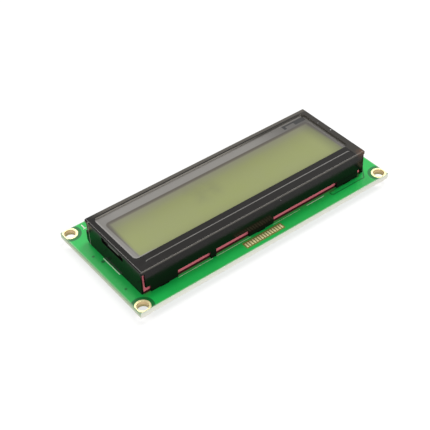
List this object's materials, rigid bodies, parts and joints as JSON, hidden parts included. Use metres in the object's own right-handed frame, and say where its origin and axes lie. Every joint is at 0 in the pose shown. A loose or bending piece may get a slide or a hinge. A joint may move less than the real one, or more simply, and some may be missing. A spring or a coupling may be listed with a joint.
{
  "type": "character lcd module",
  "caption": "Character display module: glass cell in a black folded bezel on a green circuit board with mounting and header holes.",
  "frame": {"origin": "centre of the four mounting holes, on the board's rear face", "axes": "+X along the board, +Y to the edge with the header holes, +Z out of the display towards the viewer"},
  "size_m": [0.08, 0.036, 0.0105],
  "materials": {
    "solder_mask": "glossy green solder mask over woven glass laminate",
    "gold_plate": "thin bright gold plating over copper",
    "black_paint": "semi-gloss black enamel on folded steel sheet",
    "glass": "clear float glass",
    "epoxy_seal": "cured epoxy line",
    "liquid_crystal": "yellow-green liquid crystal layer",
    "clear_resin": "clear ultraviolet-cured resin",
    "polariser_film": "smooth glossy grey film",
    "pink_rubber": "satin pink silicone rubber",
    "white_board": "white mask on laminate",
    "white_plastic": "moulded white reflector plastic",
    "diffuser_film": "milky diffuser sheet",
    "lamp_resin": "yellow-green lamp resin",
    "tinned_steel": "tinned steel wire",
    "solder": "bright tin solder",
    "black_resin": "smooth black encapsulating resin",
    "resistor_glaze": "black glaze on ceramic",
    "capacitor_ceramic": "fired tan ceramic"
  },
  "bodies": {
    "root": {"circuit_board": "solder_mask", "mounting_hole_rings": "gold_plate", "header_hole_rings": "gold_plate", "bezel": "black_paint", "front_glass": "glass", "rear_glass": "glass", "cell_seal": "epoxy_seal", "liquid_crystal_fill": "liquid_crystal", "fill_port_plug": "clear_resin", "front_polariser": "polariser_film", "rear_polariser": "polariser_film", "contact_lands": "gold_plate", "contact_strip": "pink_rubber", "backlight_board": "white_board", "reflector_frame": "white_plastic", "backlight_diffuser": "diffuser_film", "lamp_chips": "lamp_resin", "backlight_leads": "tinned_steel", "lead_solder_joints": "solder", "controller_blob": "black_resin", "driver_blob": "black_resin", "resistor_bodies": "resistor_glaze", "resistor_end_caps": "solder", "capacitor_bodies": "capacitor_ceramic", "capacitor_end_caps": "solder", "solder_lands": "solder", "jumper_pads": "gold_plate"}
  },
  "joints": []
}
